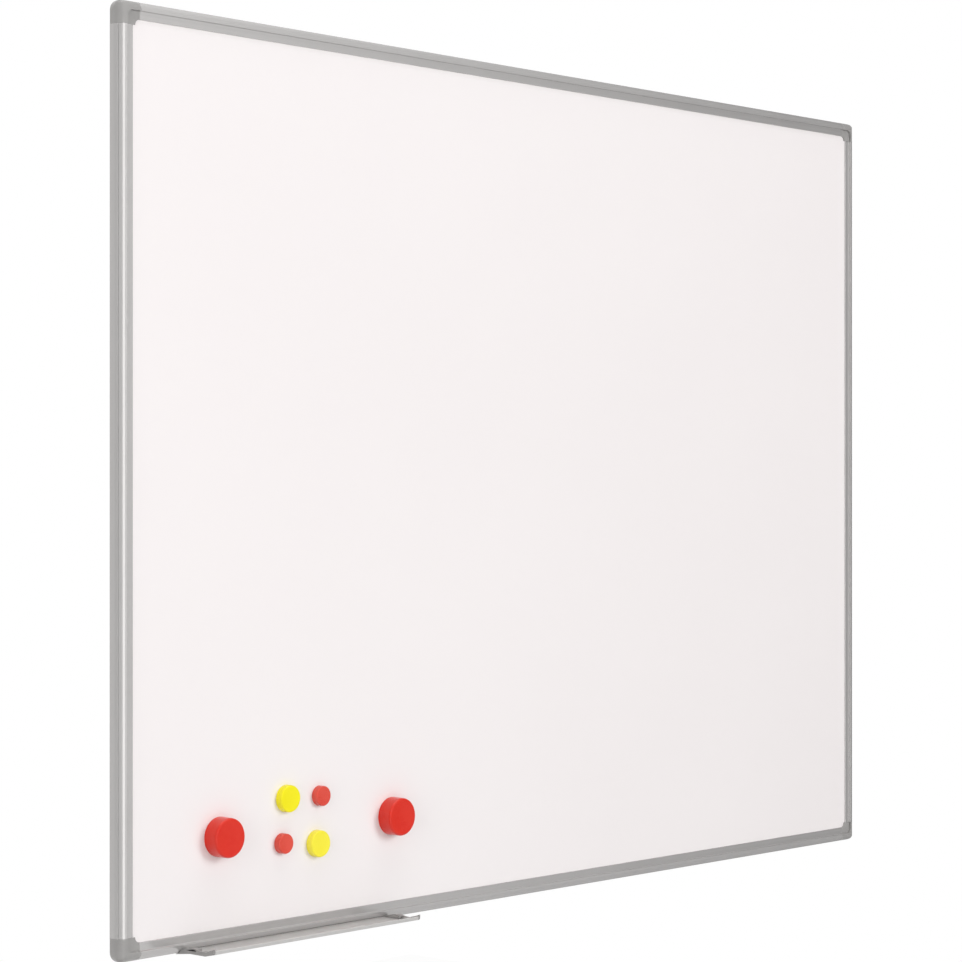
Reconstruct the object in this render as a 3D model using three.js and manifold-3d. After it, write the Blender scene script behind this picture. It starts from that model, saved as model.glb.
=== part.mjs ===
import * as THREE from 'three';
import { mergeVertices } from 'three/addons/utils/BufferGeometryUtils.js';
import Module from 'manifold-3d';

// A magnetic whiteboard that hangs on a wall, in millimetres.
// X runs along the board to the right, Y runs into the wall and Z runs up.
// The origin is in the wall's plane, behind the middle of the board.
// "Out" is a distance from the wall, "inward" one from the frame's outer edge.

// Overall size
const boardWidth = 1200;
const boardHeight = 900;

// Panel, a laminate: lacquered steel in front, a light core, zinc-coated steel behind
const sheetThickness = 0.5;
const coreThickness = 4;
const backThickness = 0.3;
const bondLine = 0.1;
const panelEdgeGap = 0.3;
const panelFaceGap = 0.1;

// Frame profile: a hollow outer half, a thin front lip and a rear flange with a hanging pocket
const crownRadius = 9.3;
const lipWidth = 8.1;
const lipThickness = 1.2;
const stepDepth = 2.4;
const edgeRadius = 0.4;
const outerWall = 1.4;
const webThickness = 1.4;
const flangeWidth = 7.9;
const flangeThickness = 1.2;
const pocketDepth = 4.2;
const hookWidth = 2.9;
const rearWall = 1.2;
const grooveDrop = 4.6;
const grooveWidth = 1;
const grooveReach = 2.5;

// Moulded corners: a cap over each corner, plugged into the chambers of both profiles
const railArm = 25.5;
const stileArm = 20.5;
const seamGap = 0.3;
const cornerRadius = 8;
const recessRadius = 6;
const earRadius = 5.4;
const plugLength = 22;
const plugTaper = 1.2;
const plugFit = 0.3;
const coreWall = 2;
const coreDepth = 2.4;

// Countersunk screws that hold each corner's plugs from behind
const screwHeadRadius = 2.75;
const screwShankRadius = 1.45;
const screwLength = 5;
const screwPoint = 1;
const screwHeadEdge = 0.25;
const screwSink = 0.1;
const screwFit = 0.3;
const screwPlace = 10;
const slotLength = 3;
const slotWidth = 0.7;
const slotDepth = 0.8;

// Hanging brackets, bent from steel strip, screwed to the wall
const bracketThickness = 2.5;
const bracketWidth = 44;
const bracketLeg = 30;
const bracketInset = 200;
const bracketRest = 0.3;
const bracketClear = 2.1;
const bracketJog = 2.1;
const bracketChamfer = 3.6;
const fixingSlotWidth = 6;
const fixingSlotLength = 16;
const fixingSlotDrop = 18;

// Pen tray: one aluminium extrusion that snaps into the groove, closed by two moulded ends
const trayLength = 282;
const trayInset = 76;
const trayReach = 45;
const trayWall = 1.5;
const trayRise = 1.75;
const trayRampRun = 12;
const trayRampDegrees = 12;
const trayKnee = 2;
const trayLipHeight = 8;
const trayLipDegrees = 78;
const trayFootReach = 8.6;
const trayFootDrop = 0.75;
const trayFootRun = 20;
const trayFit = 0.3;
const barbWidth = 0.5;
const barbClearance = 0.3;
const endThickness = 2;
const endRearHeight = 4.4;
const endLipMargin = 1.5;
const endBlockLength = 4.5;
const endBlockWall = 1.1;
const endBossReach = 21;
const endLugStart = 27;
const endLugEnd = 40;

// Magnets: a plastic cap over a ferrite disc
const magnetSeatGap = 0.1;
const magnetFit = 0.3;
const capDraft = 0.5;
const capDish = 0.3;
const largeMagnet = { diameter: 39, height: 16.5, edge: 2.2, wall: 2, disc: 6, sides: 44 };
const mediumMagnet = { diameter: 27.2, height: 7.4, edge: 1.4, wall: 1.4, disc: 4, sides: 36 };
const smallMagnet = { diameter: 20.4, height: 7, edge: 1.2, wall: 1.3, disc: 4, sides: 32 };

// One overrun serves every cut, and one tolerance every weld
const overrun = 1;
const weldTolerance = 0.0001;

// Places of the magnets: shares of the board's width from its left edge and of its height from below
const magnetShares = [
  { name: 'magnet_large_left', kind: largeMagnet, colour: 'red', across: 0.106, up: 0.1184 },
  { name: 'magnet_large_right', kind: largeMagnet, colour: 'red', across: 0.305, up: 0.1169 },
  { name: 'magnet_medium_upper', kind: mediumMagnet, colour: 'yellow', across: 0.1799, up: 0.1512 },
  { name: 'magnet_medium_lower', kind: mediumMagnet, colour: 'yellow', across: 0.2147, up: 0.0972 },
  { name: 'magnet_small_upper', kind: smallMagnet, colour: 'red', across: 0.2182, up: 0.1499 },
  { name: 'magnet_small_lower', kind: smallMagnet, colour: 'red', across: 0.1751, up: 0.1024 },
];

// Upper edge of a tray end, from its lip through a dip and a crest down to the rail:
// shares of the tray's reach, forward, and of its lip's height, up
const endWaveShares = [
  [0.93, 1.04],
  [0.855, 0.92],
  [0.79, 0.77],
  [0.73, 0.7],
  [0.62, 0.7],
  [0.52, 0.76],
  [0.43, 0.87],
  [0.37, 0.92],
  [0.27, 0.87],
  [0.16, 0.74],
  [0.06, 0.6],
];

// Depths of the profile, counted from the wall
const panelThickness = sheetThickness + bondLine + coreThickness + bondLine + backThickness;
const pocketFront = rearWall + pocketDepth;
const flangeFront = pocketFront + flangeThickness;
const panelRear = flangeFront + panelFaceGap;
const panelFront = panelRear + panelThickness;
const lipRear = panelFront + panelFaceGap;
const lipFront = lipRear + lipThickness;
const frameDepth = lipFront + stepDepth;
const springing = frameDepth - crownRadius;
const lipEdge = crownRadius + lipWidth;
const grooveOut = frameDepth - grooveDrop;

const wasm = await Module();
wasm.setup();

function material(colour, roughness, metalness) {
  return new THREE.MeshStandardMaterial({ color: colour, roughness, metalness });
}

const materials = {
  writingSteel: material(0xf6f4f3, 0.22, 0),
  core: material(0xb79a6c, 0.9, 0),
  zincSteel: material(0xa9adaf, 0.45, 0.9),
  aluminium: material(0xc2bfbd, 0.38, 0.9),
  greyPlastic: material(0x9c9a98, 0.5, 0),
  screwSteel: material(0xa8aaab, 0.35, 0.9),
  bracketSteel: material(0xb0b3b4, 0.4, 0.9),
  red: material(0xd9382b, 0.35, 0),
  yellow: material(0xf4ea1c, 0.35, 0),
  ferrite: material(0x3a3a3c, 0.7, 0.2),
};

// Solids and meshes

function toSolid(geometry) {
  const bare = geometry.clone();
  bare.deleteAttribute('normal');
  bare.deleteAttribute('uv');
  const welded = mergeVertices(bare, weldTolerance);
  const vertProperties = new Float32Array(welded.attributes.position.array);
  const triVerts = new Uint32Array(welded.index.array);
  return new wasm.Manifold(new wasm.Mesh({ numProp: 3, vertProperties, triVerts }));
}

function toGeometry(solid) {
  const mesh = solid.getMesh();
  const geometry = new THREE.BufferGeometry();
  geometry.setAttribute('position', new THREE.BufferAttribute(new Float32Array(mesh.vertProperties), 3));
  geometry.setIndex(new THREE.BufferAttribute(new Uint32Array(mesh.triVerts), 1));
  geometry.computeVertexNormals();
  return geometry;
}

// A mirror image turns every triangle round, so that its faces still point out
function mirrored(geometry) {
  const copy = geometry.clone().scale(-1, 1, 1);
  const index = copy.index.array;
  for (let i = 0; i < index.length; i += 3) {
    [index[i], index[i + 1]] = [index[i + 1], index[i]];
  }
  copy.computeVertexNormals();
  return copy;
}

function named(name, geometry, surface) {
  const mesh = new THREE.Mesh(geometry, surface);
  mesh.name = name;
  return mesh;
}

function extruded(shape, length, curveSegments) {
  return new THREE.ExtrudeGeometry(shape, { depth: length, bevelEnabled: false, curveSegments });
}

const axisX = new THREE.Vector3(1, 0, 0);
const axisY = new THREE.Vector3(0, 1, 0);
const axisZ = new THREE.Vector3(0, 0, 1);

// A section drawn as (inward, out) runs along X with its outer edge on Z = 0
function alongRail(shape, start, end, curveSegments) {
  const turn = new THREE.Matrix4().makeBasis(axisZ, axisY.clone().negate(), axisX);
  return extruded(shape, end - start, curveSegments).applyMatrix4(turn).translate(start, 0, 0);
}

// The same section runs along Z with its outer edge on X = 0
function alongStile(shape, start, end, curveSegments) {
  const turn = new THREE.Matrix4().makeBasis(axisX, axisY.clone().negate(), axisZ.clone().negate());
  return extruded(shape, end - start, curveSegments).applyMatrix4(turn).translate(0, 0, end);
}

// An outline drawn as the board is seen from the front, (X, Z), is as thick as the two depths say
function elevation(shape, outFrom, outTo, curveSegments) {
  const turn = new THREE.Matrix4().makeBasis(axisX, axisZ, axisY.clone().negate());
  return extruded(shape, outTo - outFrom, curveSegments).applyMatrix4(turn).translate(0, -outFrom, 0);
}

// A turned piece whose axis stands out of the wall: its profile is (radius, out)
function turned(profile, sides) {
  return new THREE.LatheGeometry(profile, sides).rotateX(Math.PI);
}

function outline(points) {
  return new THREE.Shape(points.map(([x, y]) => new THREE.Vector2(x, y)));
}

function rectangle(x0, y0, x1, y1) {
  return outline([[x0, y0], [x1, y0], [x1, y1], [x0, y1]]);
}

// Frame profile

function angleOnArc(radius, inward) {
  return Math.PI - Math.acos((crownRadius - inward) / radius);
}

function crownInward(radius, out) {
  return crownRadius - Math.sqrt(radius ** 2 - (out - springing) ** 2);
}

const crownSegments = 5;
const domeSides = 40;
const innerRadius = crownRadius - outerWall;
const grooveTop = grooveOut + grooveWidth / 2;
const grooveBottom = grooveOut - grooveWidth / 2;
const grooveBack = grooveReach + outerWall;
const grooveFloor = grooveBottom - outerWall;

// The accessory groove cuts into the rounded outer edge, square to the frame's side
function addCrown(path, withGroove) {
  if (!withGroove) {
    path.absarc(crownRadius, springing, crownRadius, Math.PI / 2, Math.PI, false);
    return;
  }
  const upper = crownInward(crownRadius, grooveTop);
  const lower = crownInward(crownRadius, grooveBottom);
  path.absarc(crownRadius, springing, crownRadius, Math.PI / 2, angleOnArc(crownRadius, upper), false);
  path.lineTo(grooveReach, grooveTop);
  path.lineTo(grooveReach, grooveBottom);
  path.absarc(crownRadius, springing, crownRadius, angleOnArc(crownRadius, lower), Math.PI, false);
}

function profileShape() {
  const shape = new THREE.Shape();
  shape.moveTo(0, 0);
  shape.lineTo(crownRadius + hookWidth, 0);
  shape.lineTo(crownRadius + hookWidth, rearWall);
  shape.lineTo(crownRadius, rearWall);
  shape.lineTo(crownRadius, pocketFront);
  shape.lineTo(crownRadius + flangeWidth, pocketFront);
  shape.lineTo(crownRadius + flangeWidth, flangeFront);
  shape.lineTo(crownRadius, flangeFront);
  shape.lineTo(crownRadius, lipRear);
  shape.lineTo(lipEdge, lipRear);
  shape.absarc(lipEdge - edgeRadius, lipFront - edgeRadius, edgeRadius, 0, Math.PI / 2, false);
  shape.lineTo(crownRadius, lipFront);
  addCrown(shape, true);
  shape.closePath();
  shape.holes.push(chamberPath());
  return shape;
}

// The chamber follows the crown, with a thicker wall behind the groove
function chamberPath() {
  const path = new THREE.Path();
  const web = crownRadius - webThickness;
  const atFloor = crownInward(innerRadius, grooveFloor);
  path.moveTo(outerWall, rearWall);
  path.lineTo(web, rearWall);
  path.absarc(
    crownRadius,
    springing,
    innerRadius,
    angleOnArc(innerRadius, web),
    angleOnArc(innerRadius, grooveBack),
    false,
  );
  path.lineTo(grooveBack, grooveFloor);
  path.absarc(crownRadius, springing, innerRadius, angleOnArc(innerRadius, atFloor), Math.PI, false);
  path.closePath();
  return path;
}

// Screws

const plugMiddle = (outerWall + crownRadius - webThickness) / 2;

// The same profile, made larger by a fit, cuts the hole that the screw goes through
function screwProfile(fit) {
  const cone = screwHeadRadius - screwShankRadius;
  const start = fit > 0 ? -overrun : screwSink;
  const shoulder = screwSink + screwHeadEdge;
  const tip = screwSink + screwLength + fit;
  return [
    [0, start],
    [screwHeadRadius + fit, start],
    [screwHeadRadius + fit, shoulder],
    [screwShankRadius + fit, shoulder + cone],
    [screwShankRadius + fit, tip],
    [0, tip + screwPoint],
  ].map(([radius, out]) => new THREE.Vector2(radius, out));
}

function screwGeometry() {
  let screw = toSolid(turned(screwProfile(0), 16));
  for (const [x, z] of [[slotLength, slotWidth], [slotWidth, slotLength]]) {
    const slot = elevation(rectangle(-x / 2, -z / 2, x / 2, z / 2), 0, screwSink + slotDepth, 1);
    screw = screw.subtract(toSolid(slot));
  }
  return toGeometry(screw);
}

function screwHole(x, z) {
  return toSolid(turned(screwProfile(screwFit), 16).translate(x, 0, z));
}

// Corner caps, drawn for the lower left corner with the corner itself on the origin

function capOutline() {
  const earTop = lipEdge + earRadius;
  const rise = earTop - stileArm;
  const shape = new THREE.Shape();
  shape.moveTo(cornerRadius, 0);
  shape.lineTo(railArm, 0);
  shape.absarc(railArm, earTop, earRadius, -Math.PI / 2, Math.PI + Math.asin(rise / earRadius), true);
  shape.lineTo(0, stileArm);
  shape.absarc(cornerRadius, cornerRadius, cornerRadius, Math.PI, 3 * Math.PI / 2, false);
  return shape;
}

// The soft outer edge of the profile, without its lip, flange or groove
function crownSection(width) {
  const shape = new THREE.Shape();
  shape.moveTo(0, 0);
  shape.lineTo(width, 0);
  shape.lineTo(width, frameDepth);
  addCrown(shape, false);
  shape.closePath();
  return shape;
}

// Around the corner the soft edge is a turned dome
function cornerDome() {
  const points = [new THREE.Vector2(0, 0), new THREE.Vector2(cornerRadius, 0)];
  const arc = new THREE.Path();
  arc.absarc(crownRadius, springing, crownRadius, Math.PI, Math.PI / 2, true);
  for (const { x: inward, y: out } of arc.getPoints(crownSegments)) {
    if (inward < cornerRadius) {
      points.push(new THREE.Vector2(cornerRadius - inward, out));
    }
  }
  const rise = Math.sqrt(crownRadius ** 2 - Math.max(crownRadius - cornerRadius, 0) ** 2);
  points.push(new THREE.Vector2(0, springing + rise));
  return turned(points, domeSides).translate(cornerRadius, 0, cornerRadius);
}

function capBody() {
  const width = railArm + stileArm;
  const crowns = toSolid(alongRail(crownSection(width), cornerRadius, width, crownSegments))
    .add(toSolid(alongStile(crownSection(width), cornerRadius, width, crownSegments)))
    .add(toSolid(cornerDome()));
  return toSolid(elevation(capOutline(), 0, frameDepth + overrun, 8)).intersect(crowns);
}

// In front, the step of the profile runs round the corner in a soft bend
function capRecess() {
  const far = railArm + stileArm;
  const bend = crownRadius + recessRadius;
  const shape = new THREE.Shape();
  shape.moveTo(bend, crownRadius);
  shape.lineTo(far, crownRadius);
  shape.lineTo(far, far);
  shape.lineTo(crownRadius, far);
  shape.absarc(bend, bend, recessRadius, Math.PI, 3 * Math.PI / 2, false);
  return elevation(shape, lipFront, frameDepth + overrun, 8);
}

// The slot takes the panel's square corner, and behind it only the rear flange is left
function capSlots() {
  const far = railArm + stileArm;
  const behind = crownRadius + flangeWidth;
  return [
    elevation(rectangle(crownRadius, crownRadius, far, far), flangeFront, lipRear, 1),
    elevation(rectangle(crownRadius, crownRadius, far, far), -overrun, pocketFront, 1),
    elevation(rectangle(behind, behind, far, far), pocketFront - overrun, lipRear, 1),
  ];
}

// The moulding is cored from behind, on both sides of a web across the corner
function capCores() {
  const inner = crownRadius - coreWall;
  const rail = rectangle(cornerRadius, coreWall, railArm - coreWall, inner);
  const stile = rectangle(coreWall, cornerRadius, inner, stileArm - coreWall);
  return [rail, stile].map((shape) => elevation(shape, -overrun, coreDepth, 1));
}

// Each plug arm has a tapered nose and sits in the straight-sided part of the chamber
function plugShape(start, end) {
  const near = outerWall + plugFit;
  const far = crownRadius - webThickness - plugFit;
  return outline([
    [start, near],
    [end - plugTaper, near],
    [end, near + plugTaper],
    [end, far - plugTaper],
    [end - plugTaper, far],
    [start, far],
  ]);
}

function plugs() {
  const bottom = rearWall + plugFit;
  const railPlug = plugShape(railArm - overrun, railArm + plugLength);
  const upright = plugShape(stileArm - overrun, stileArm + plugLength).getPoints();
  const stilePlug = outline(upright.map(({ x, y }) => [y, x]));
  return [railPlug, stilePlug].map((shape) => elevation(shape, bottom, springing, 1));
}

function capGeometry() {
  let cap = capBody().subtract(toSolid(capRecess()));
  for (const cut of [...capSlots(), ...capCores()]) {
    cap = cap.subtract(toSolid(cut));
  }
  for (const plug of plugs()) {
    cap = cap.add(toSolid(plug));
  }
  cap = cap.subtract(screwHole(railArm + screwPlace, plugMiddle));
  cap = cap.subtract(screwHole(plugMiddle, stileArm + screwPlace));
  return toGeometry(cap);
}

// Rails and stiles, each drawn as the lower one and turned round the board's middle

function profileMember(length, arm) {
  const half = length / 2;
  const end = half - arm - seamGap;
  const place = half - arm - screwPlace;
  let member = toSolid(alongRail(profileShape(), -end, end, crownSegments));
  for (const x of [-place, place]) {
    member = member.subtract(screwHole(x, plugMiddle));
  }
  return toGeometry(member);
}

function frame() {
  const group = new THREE.Group();
  const railGeometry = profileMember(boardWidth, railArm);
  const stileGeometry = profileMember(boardHeight, stileArm);
  const members = [
    { name: 'bottom_rail', geometry: railGeometry, quarter: 0, across: boardHeight },
    { name: 'left_stile', geometry: stileGeometry, quarter: 1, across: boardWidth },
    { name: 'top_rail', geometry: railGeometry, quarter: 2, across: boardHeight },
    { name: 'right_stile', geometry: stileGeometry, quarter: 3, across: boardWidth },
  ];
  for (const { name, geometry, quarter, across } of members) {
    const placed = geometry.clone().translate(0, 0, -across / 2).rotateY(quarter * Math.PI / 2);
    group.add(named(name, placed, materials.aluminium));
  }
  return group;
}

function corners() {
  const group = new THREE.Group();
  const lowerLeft = capGeometry().translate(-boardWidth / 2, 0, -boardHeight / 2);
  const lowerRight = mirrored(lowerLeft);
  const screw = screwGeometry();
  const list = [
    { name: 'lower_left', geometry: lowerLeft, side: -1, turn: 0 },
    { name: 'lower_right', geometry: lowerRight, side: 1, turn: 0 },
    { name: 'upper_right', geometry: lowerLeft, side: -1, turn: Math.PI },
    { name: 'upper_left', geometry: lowerRight, side: 1, turn: Math.PI },
  ];
  for (const { name, geometry, side, turn } of list) {
    group.add(named(`corner_cap_${name}`, geometry.clone().rotateY(turn), materials.greyPlastic));
    const places = {
      rail: [side * (boardWidth / 2 - railArm - screwPlace), plugMiddle - boardHeight / 2],
      stile: [side * (boardWidth / 2 - plugMiddle), stileArm + screwPlace - boardHeight / 2],
    };
    for (const [arm, [x, z]] of Object.entries(places)) {
      const placed = screw.clone().translate(x, 0, z).rotateY(turn);
      group.add(named(`corner_screw_${name}_${arm}`, placed, materials.screwSteel));
    }
  }
  return group;
}

// Panel: three sheets bonded to each other, held between the lip and the rear flange

function panel() {
  const group = new THREE.Group();
  const margin = crownRadius + panelEdgeGap;
  const x = boardWidth / 2 - margin;
  const z = boardHeight / 2 - margin;
  const layers = [
    { name: 'back_sheet', thickness: backThickness, surface: materials.zincSteel },
    { name: 'core_panel', thickness: coreThickness, surface: materials.core },
    { name: 'writing_sheet', thickness: sheetThickness, surface: materials.writingSteel },
  ];
  let out = panelRear;
  for (const { name, thickness, surface } of layers) {
    group.add(named(name, elevation(rectangle(-x, -z, x, z), out, out + thickness, 1), surface));
    out += thickness + bondLine;
  }
  return group;
}

// Hanging brackets: the tongue stands in the top rail's pocket and the leg lies on the wall

function bracketSection() {
  const rest = crownRadius + bracketRest;
  const tongueRear = rearWall + (pocketDepth - bracketThickness) / 2;
  const tongueFront = tongueRear + bracketThickness;
  const jogTop = crownRadius + hookWidth + bracketClear;
  const jogEnd = jogTop + bracketJog;
  const shift = bracketThickness * Math.tan(Math.atan2(tongueRear, bracketJog) / 2);
  return outline([
    [rest, tongueRear],
    [jogTop, tongueRear],
    [jogEnd, 0],
    [jogEnd + bracketLeg, 0],
    [jogEnd + bracketLeg, bracketThickness],
    [jogEnd + shift, bracketThickness],
    [jogTop + shift, tongueFront],
    [rest, tongueFront],
  ]);
}

// A rounded slot lets the bracket be shifted sideways on its screw
function fixingSlot(inward) {
  const radius = fixingSlotWidth / 2;
  const half = (fixingSlotLength - fixingSlotWidth) / 2;
  const shape = new THREE.Shape();
  shape.absarc(half, inward, radius, -Math.PI / 2, Math.PI / 2, false);
  shape.absarc(-half, inward, radius, Math.PI / 2, 3 * Math.PI / 2, false);
  return elevation(shape, -overrun, bracketThickness + overrun, 6);
}

// The leg's lower corners are cut at a slant, so that they don't mark the wall
function legOutline() {
  const half = bracketWidth / 2;
  const end = crownRadius + hookWidth + bracketClear + bracketJog + bracketLeg;
  return outline([
    [-half, 0],
    [half, 0],
    [half, end - bracketChamfer],
    [half - bracketChamfer, end],
    [bracketChamfer - half, end],
    [-half, end - bracketChamfer],
  ]);
}

function brackets() {
  const group = new THREE.Group();
  const jogEnd = crownRadius + hookWidth + bracketClear + bracketJog;
  const strip = toSolid(alongRail(bracketSection(), -bracketWidth / 2, bracketWidth / 2, 1))
    .intersect(toSolid(elevation(legOutline(), -overrun, frameDepth, 1)))
    .subtract(toSolid(fixingSlot(jogEnd + fixingSlotDrop)));
  const geometry = toGeometry(strip).translate(0, 0, -boardHeight / 2).rotateY(Math.PI);
  for (const [name, side] of [['left', -1], ['right', 1]]) {
    const x = side * (boardWidth / 2 - bracketInset);
    group.add(named(`hanging_bracket_${name}`, geometry.clone().translate(x, 0, 0), materials.bracketSteel));
  }
  return group;
}

// Pen tray, drawn as (forward, height): forward of the frame's front, above its lower edge

const underCrown = crownRadius + trayFit;
const trayFloor = trayRise + trayWall;
const traySegments = 4;

// Angle, on the arc that keeps clear of the crown, of the point so far behind the frame's front
function angleBehind(behind) {
  return Math.PI + Math.acos((crownRadius - behind) / underCrown);
}

// The same for the point at a height above the frame's lower edge
function angleAtHeight(height) {
  return Math.PI + Math.asin((crownRadius - height) / underCrown);
}

// The floor ends in a ramp and the ramp in a steep lip with a half round edge. A face of the lip
// is given by the points where its rounded knee starts, turns and ends, and where the edge starts.
function lipFace(side) {
  const ramp = THREE.MathUtils.degToRad(trayRampDegrees);
  const lean = THREE.MathUtils.degToRad(trayLipDegrees);
  const half = trayWall / 2;
  const x = half - trayReach + side * half * Math.sin(lean);
  const y = trayLipHeight - half + side * half * Math.cos(lean);
  const level = trayRise + half + side * half;
  const slope = Math.tan(ramp);
  const steepness = Math.tan(lean);
  const rise = (trayRampRun - trayReach - x - (y - level) / steepness) * slope;
  const kneeY = level + rise / (1 - slope / steepness);
  const kneeX = x + (y - kneeY) / steepness;
  return {
    start: [kneeX + trayKnee * Math.cos(ramp), kneeY - trayKnee * Math.sin(ramp)],
    knee: [kneeX, kneeY],
    end: [kneeX - trayKnee * Math.cos(lean), kneeY + trayKnee * Math.sin(lean)],
    edge: [x, y],
  };
}

// Underside, from the foot behind the crown to the outer face of the lip
function addTrayUnderside(path) {
  const { start, knee, end } = lipFace(-1);
  path.moveTo(trayFootReach, -trayFootDrop);
  path.lineTo(trayFootReach - trayFootRun, trayRise);
  path.lineTo(trayRampRun - trayReach, trayRise);
  path.lineTo(...start);
  path.quadraticCurveTo(...knee, ...end);
}

function traySection() {
  const { start, knee, end } = lipFace(1);
  const barbTop = grooveReach - barbClearance;
  const barbFront = grooveDrop - barbWidth / 2;
  const barbRear = grooveDrop + barbWidth / 2;
  const lean = THREE.MathUtils.degToRad(trayLipDegrees);
  const half = trayWall / 2;
  const shape = new THREE.Shape();
  addTrayUnderside(shape);
  shape.absarc(half - trayReach, trayLipHeight - half, half, -Math.PI / 2 - lean, Math.PI / 2 - lean, true);
  shape.lineTo(...end);
  shape.quadraticCurveTo(...knee, ...start);
  shape.lineTo(trayRampRun - trayReach, trayFloor);
  shape.absarc(crownRadius, crownRadius, underCrown, angleAtHeight(trayFloor), angleBehind(barbFront), false);
  shape.lineTo(barbFront, barbTop);
  shape.lineTo(barbRear, barbTop);
  shape.absarc(crownRadius, crownRadius, underCrown, angleBehind(barbRear), angleBehind(trayFootReach), false);
  shape.closePath();
  return shape;
}

// A tray end has the underside of the section and a wavy upper edge
function endOutline() {
  const wave = endWaveShares.map(([forward, up]) => new THREE.Vector2(-forward * trayReach, up * trayLipHeight));
  const shape = new THREE.Shape();
  addTrayUnderside(shape);
  shape.lineTo(-trayReach, trayLipHeight + endLipMargin);
  shape.splineThru(wave);
  shape.absarc(
    crownRadius,
    crownRadius,
    underCrown,
    angleAtHeight(endRearHeight),
    angleBehind(trayFootReach),
    false,
  );
  shape.closePath();
  return shape;
}

// A section of the tray runs along X, in its place below the frame
function alongTray(shape, start, end) {
  const turn = new THREE.Matrix4().makeBasis(axisY, axisZ, axisX);
  return extruded(shape, end - start, traySegments)
    .applyMatrix4(turn)
    .translate(start, -frameDepth, -boardHeight / 2);
}

// Inside the tray each end has a boss beside the rail and a lug behind the lip, clear of the floor
function endBlock(from, to, start, end) {
  const reach = rectangle(-to, 0, -from, trayReach);
  const section = alongTray(traySection(), start, end);
  return toSolid(alongTray(endOutline(), start, end))
    .intersect(toSolid(alongTray(reach, start, end)))
    .subtract(toSolid(section))
    .subtract(toSolid(section.clone().translate(0, 0, trayFit)));
}

// The boss is cored from outside: what stays is a wall above, below, in front, behind and at its end
function bossCore(start, end) {
  const raised = new THREE.Matrix4().makeTranslation(0, 0, endBlockWall);
  const boss = toGeometry(endBlock(endBlockWall, endBossReach - endBlockWall, start, end));
  const upper = toSolid(boss.clone().applyMatrix4(raised));
  const lower = toSolid(boss.clone().applyMatrix4(raised.invert()));
  return upper.intersect(lower);
}

function trayEnd(start, side) {
  const span = (a, b) => [Math.min(a, b), Math.max(a, b)];
  const inner = start + side * (endThickness + endBlockLength);
  const core = bossCore(...span(start - side * overrun, inner - side * endBlockWall));
  const blockSpan = span(start + side * endThickness / 2, inner);
  const solid = toSolid(alongTray(endOutline(), ...span(start, start + side * endThickness)))
    .add(endBlock(0, endBossReach, ...blockSpan))
    .add(endBlock(endLugStart, endLugEnd, ...blockSpan))
    .subtract(core);
  return toGeometry(solid);
}

function tray() {
  const group = new THREE.Group();
  const left = trayInset - boardWidth / 2;
  const right = left + trayLength;
  const bodyStart = left + endThickness + seamGap;
  const bodyEnd = right - endThickness - seamGap;
  group.add(named('pen_tray', alongTray(traySection(), bodyStart, bodyEnd), materials.aluminium));
  group.add(named('tray_end_left', trayEnd(left, 1), materials.greyPlastic));
  group.add(named('tray_end_right', trayEnd(right, -1), materials.greyPlastic));
  return group;
}

// Magnets

// The cap is a cup with a soft front edge and a face that is a little dished
function capProfile({ diameter, height, edge, wall, disc }) {
  const radius = diameter / 2;
  const frontRadius = radius - capDraft;
  const cavity = radius - wall;
  const steps = 4;
  const points = [
    [0, disc + magnetFit],
    [cavity, disc + magnetFit],
    [cavity, 0],
    [radius, 0],
  ];
  for (let i = 0; i <= steps; i += 1) {
    const angle = (Math.PI / 2) * (i / steps);
    points.push([frontRadius - edge + edge * Math.cos(angle), height - edge + edge * Math.sin(angle)]);
  }
  points.push([0, height - capDish]);
  return points;
}

function discProfile({ diameter, wall, disc }) {
  const radius = diameter / 2 - wall - magnetFit;
  return [[0, 0], [radius, 0], [radius, disc], [0, disc]];
}

function magnets() {
  const group = new THREE.Group();
  for (const { name, kind, colour, across, up } of magnetShares) {
    const x = (across - 1 / 2) * boardWidth;
    const z = (up - 1 / 2) * boardHeight;
    const seat = panelFront + magnetSeatGap;
    for (const [part, profile, surface] of [
      ['cap', capProfile(kind), materials[colour]],
      ['disc', discProfile(kind), materials.ferrite],
    ]) {
      const points = profile.map(([radius, out]) => new THREE.Vector2(radius, out));
      const piece = turned(points, kind.sides).translate(x, -seat, z);
      group.add(named(`${name}_${part}`, piece, surface));
    }
  }
  return group;
}

const group = new THREE.Group();
group.add(panel(), frame(), corners(), brackets(), tray(), magnets());

export default group;
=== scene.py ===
import math

import bmesh
import bpy
from mathutils import Matrix, Vector


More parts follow.
